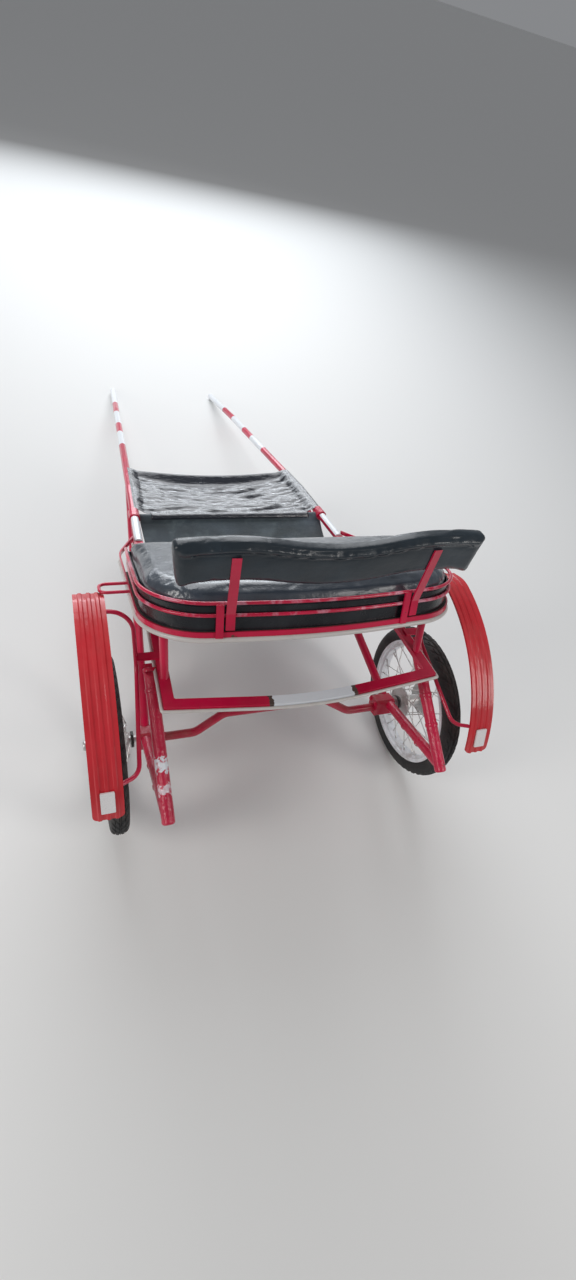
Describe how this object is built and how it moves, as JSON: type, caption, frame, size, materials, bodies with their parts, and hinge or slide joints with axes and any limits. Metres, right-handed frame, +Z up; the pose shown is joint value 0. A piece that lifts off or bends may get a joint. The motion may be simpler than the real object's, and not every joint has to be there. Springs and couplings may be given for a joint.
{
  "type": "horse cart",
  "caption": "Light two-wheeled steel-tube horse cart with padded bench seat, wire wheels and two curved shafts, parked on its shaft tips.",
  "frame": {"origin": "on the ground, under the middle of the whole parked cart's bounding box", "axes": "+Y towards the horse (the shaft tips), +X to the driver's right, +Z up; the axle lies along X"},
  "size_m": [1.31, 2.9221, 1.1782],
  "materials": {
    "red_paint": "gloss",
    "fender_red": "satin",
    "white_paint": "gloss",
    "white_trim": "gloss",
    "black_vinyl": "gloss",
    "charcoal_vinyl": "satin",
    "dark_net": "matte",
    "plated_steel": "satin",
    "tyre_rubber": "matte",
    "board": "matte",
    "reflector_lens": "gloss"
  },
  "bodies": {
    "cart": {"axle_beam": "red_paint", "backrest_bracket_left": "red_paint", "backrest_bracket_right": "red_paint", "backrest_pad": "charcoal_vinyl", "brace_left": "red_paint", "brace_right": "red_paint", "crossbar": "red_paint", "fender_left": "fender_red", "fender_loop_left": "red_paint", "fender_loop_right": "red_paint", "fender_right": "fender_red", "fender_stay_left": "red_paint", "fender_stay_right": "red_paint", "floor_net": "dark_net", "front_apron": "black_vinyl", "rear_leg_left": "red_paint", "rear_leg_right": "red_paint", "reflector_left": "reflector_lens", "reflector_right": "reflector_lens", "seat_band": "red_paint", "seat_bearer_front": "red_paint", "seat_bearer_rear": "red_paint", "seat_cushion": "black_vinyl", "seat_pan": "board", "seat_piping": "white_trim", "seat_rail_lower": "red_paint", "seat_rail_upper": "red_paint", "seat_skirt": "black_vinyl", "shaft_left": "red_paint", "shaft_right": "red_paint", "step_frame": "red_paint", "step_trim": "white_trim", "stub_axle_left": "plated_steel", "stub_axle_right": "plated_steel", "trailing_arm_left": "red_paint", "trailing_arm_right": "red_paint"},
    "wheel_left": {"hub_left": "plated_steel", "rim_left": "white_paint", "spokes_left": "plated_steel", "tyre_left": "tyre_rubber"},
    "wheel_right": {"hub_right": "plated_steel", "rim_right": "white_paint", "spokes_right": "plated_steel", "tyre_right": "tyre_rubber"}
  },
  "joints": [
    {"name": "wheel_left_spin", "type": "hinge", "parent": "cart", "child": "wheel_left", "pos_m": [-0.568, -1.0915, 0.293], "axis": [1, 0, 0], "continuous": true},
    {"name": "wheel_right_spin", "type": "hinge", "parent": "cart", "child": "wheel_right", "pos_m": [0.568, -1.0915, 0.293], "axis": [1, 0, 0], "continuous": true}
  ]
}
